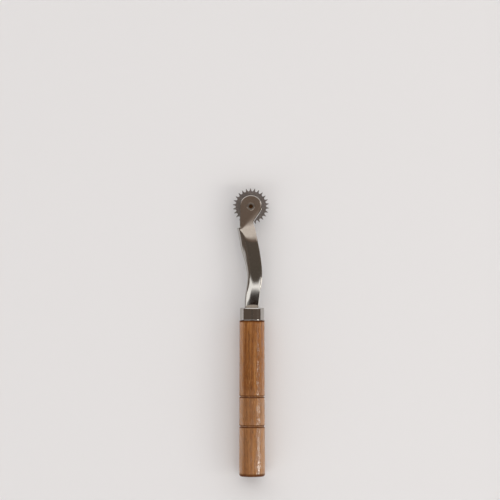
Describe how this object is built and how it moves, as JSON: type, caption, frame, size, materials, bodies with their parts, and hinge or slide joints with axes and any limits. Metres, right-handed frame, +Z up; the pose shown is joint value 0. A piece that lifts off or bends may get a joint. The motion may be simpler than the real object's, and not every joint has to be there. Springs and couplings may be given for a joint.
{
  "type": "leather stitching wheel",
  "caption": "Toothed wheel in a folded steel fork on a turned wooden handle, rolled along leather to mark an even stitch line.",
  "frame": {"origin": "centre of the handle's flat butt face", "axes": "+Y along the handle's axis towards the wheel, +X from the fork's folded spine towards its open side, +Z along the wheel's axle; the tool lies on its side with +Z up"},
  "size_m": [0.0141, 0.1124, 0.01],
  "materials": {
    "handle_wood": "satin lacquer",
    "ferrule_steel": "bright plated",
    "fork_steel": "bright plated",
    "wheel_steel": "matte",
    "rivet_steel": "plated"
  },
  "bodies": {
    "holder": {"handle": "handle_wood", "ferrule": "ferrule_steel", "fork": "fork_steel", "axle_rivet": "rivet_steel"},
    "toothed_wheel": {"wheel": "wheel_steel"}
  },
  "joints": [
    {"name": "wheel_spin", "type": "hinge", "parent": "holder", "child": "toothed_wheel", "pos_m": [-0.00045, 0.1053, 0], "axis": [0, 0, 1], "continuous": true}
  ]
}
